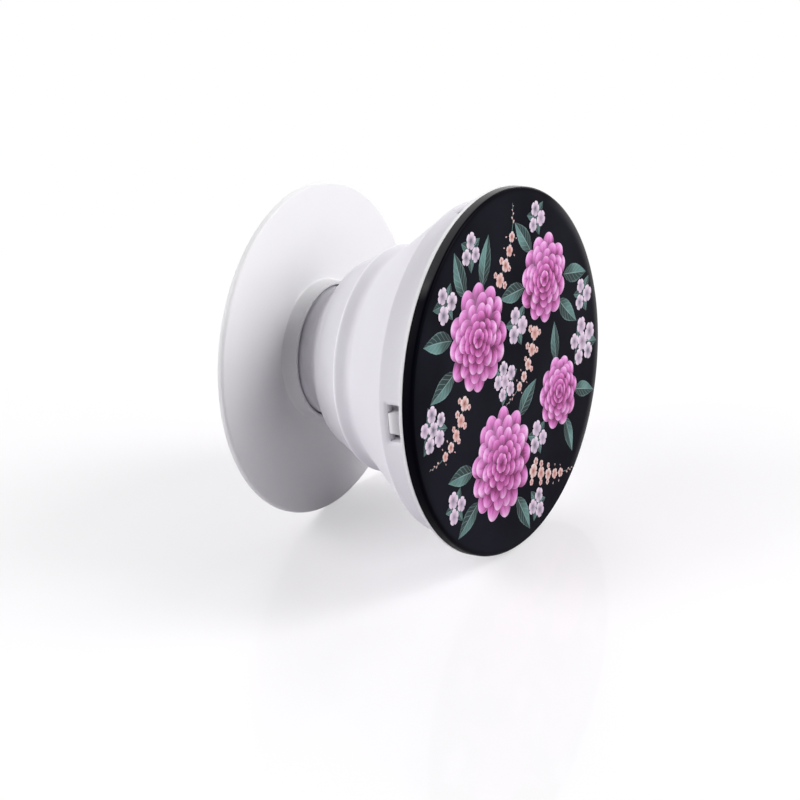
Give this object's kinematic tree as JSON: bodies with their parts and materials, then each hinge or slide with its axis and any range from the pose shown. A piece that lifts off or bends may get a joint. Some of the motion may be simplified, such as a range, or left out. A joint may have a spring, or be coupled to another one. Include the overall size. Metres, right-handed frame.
{
  "type": "collapsible phone grip",
  "caption": "Round collapsible grip: an adhesive base, a folding soft bellows and a printed cap that draws out so fingers can hold a phone.",
  "frame": {"origin": "centre of the adhesive face, where the grip meets the phone", "axes": "+Z along the grip's axis from the adhesive face to the cap, +Y towards the top of the cap's print"},
  "size_m": [0.04, 0.04, 0.0263],
  "materials": {
    "adhesive": "soft acrylic foam, slightly tacky",
    "white_plastic": "smooth satin moulding",
    "soft_white": "soft matt elastomer",
    "black_ink": "satin black print",
    "pink_ink": "satin print",
    "magenta_ink": "satin print",
    "green_ink": "satin print",
    "cream_ink": "satin print"
  },
  "bodies": {
    "base": {"adhesive_pad": "adhesive", "base": "white_plastic", "bellows": "soft_white"},
    "cap": {"cap": "white_plastic", "print_ground": "black_ink", "print_blossoms": "pink_ink", "print_hearts": "magenta_ink", "print_leaves": "green_ink", "print_sprigs": "cream_ink"}
  },
  "joints": [
    {"name": "cap_collapse", "type": "slide", "parent": "base", "child": "cap", "axis": [0, 0, 1], "range_m": [-0.018, 0], "deforming": ["bellows"]}
  ]
}
